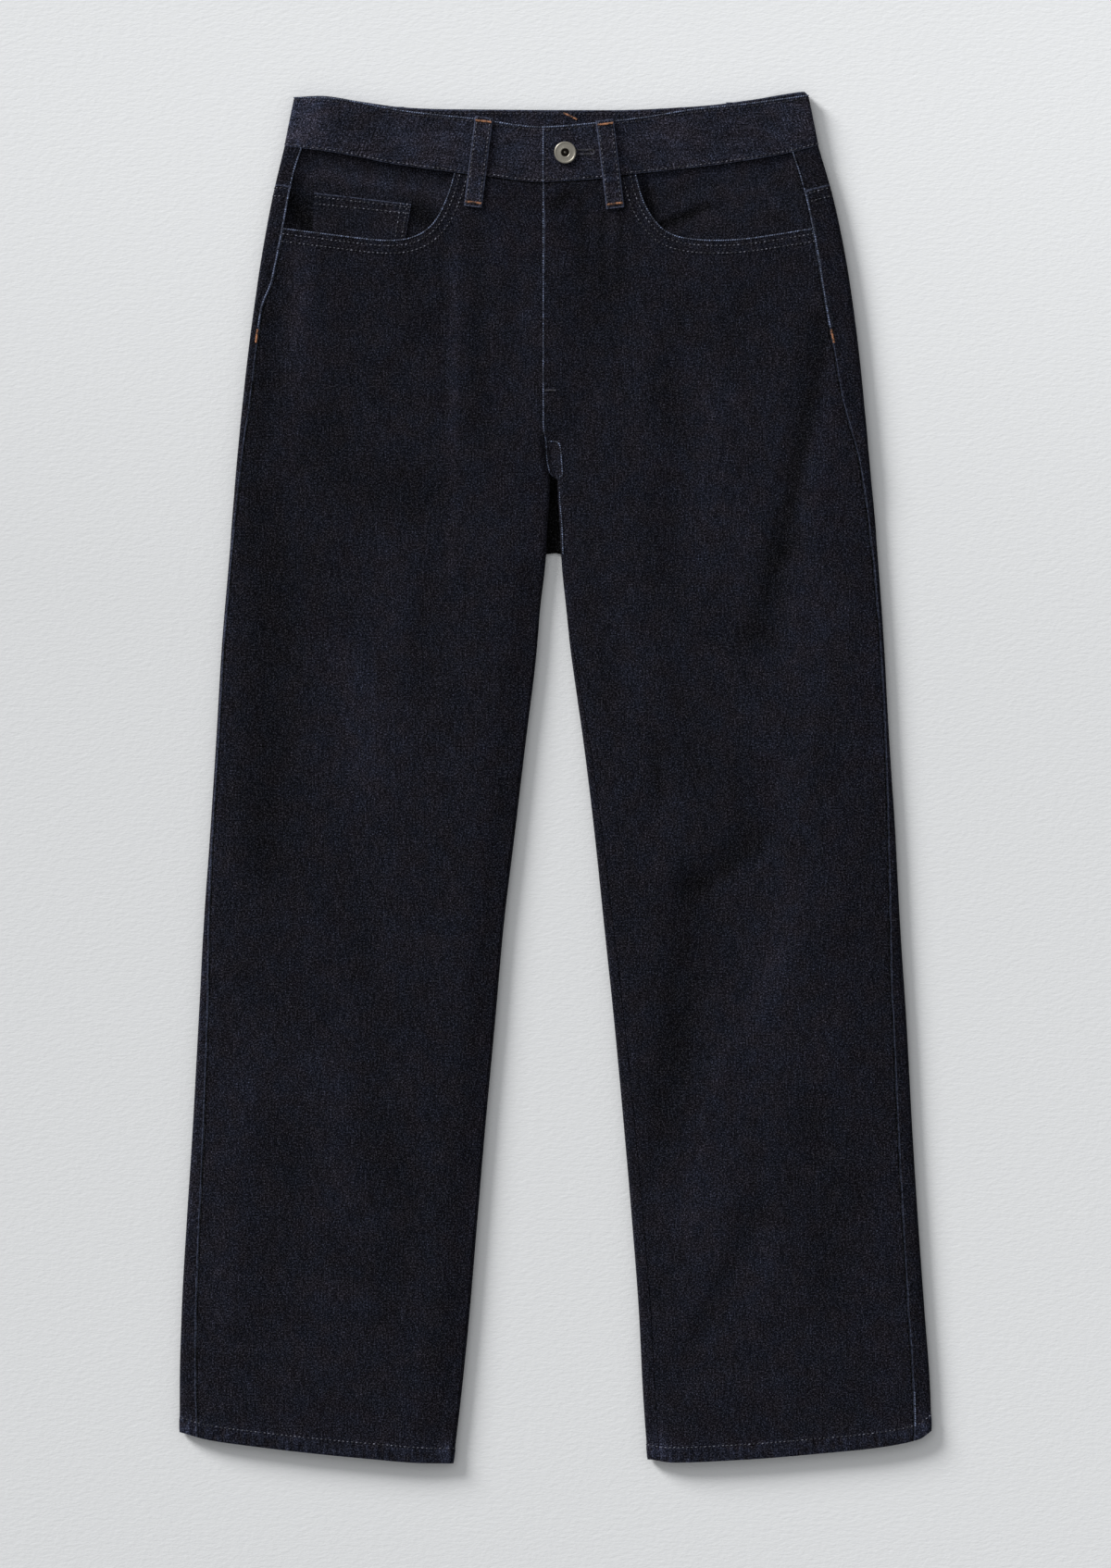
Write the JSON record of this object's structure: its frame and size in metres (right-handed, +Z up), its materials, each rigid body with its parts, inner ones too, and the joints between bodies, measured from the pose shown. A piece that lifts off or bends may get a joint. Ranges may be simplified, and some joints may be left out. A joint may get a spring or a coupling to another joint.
{
  "type": "tapered jeans laid flat",
  "caption": "Full-length denim jeans laid flat, front up, with scooped front pockets, a coin pocket, belt loops and a button waistband.",
  "frame": {"origin": "middle of the bounding box's foot, on the surface that the jeans lie on", "axes": "+Y from the hems up to the waist, +Z up from the surface, +X towards the wearer's left leg"},
  "size_m": [0.5522, 1.0078, 0.0132],
  "materials": {
    "denim": "dark indigo twill, matt, with a fine pale fleck",
    "denim_facing": "dark indigo twill, matt",
    "denim_band": "dark indigo twill, matt, slightly paler along its edges",
    "pewter": "satin pewter"
  },
  "bodies": {
    "root": {"front_right": "denim", "front_left": "denim", "back_right": "denim", "back_left": "denim", "yoke_right": "denim", "yoke_left": "denim", "back_pocket_right": "denim", "back_pocket_left": "denim", "pocket_facing_right": "denim_facing", "pocket_facing_left": "denim_facing", "coin_pocket": "denim_facing", "waistband": "denim_band", "belt_loop_front_right": "denim_band", "belt_loop_front_left": "denim_band", "belt_loop_back_right": "denim_band", "belt_loop_back_centre": "denim_band", "belt_loop_back_left": "denim_band", "button": "pewter"}
  },
  "joints": []
}
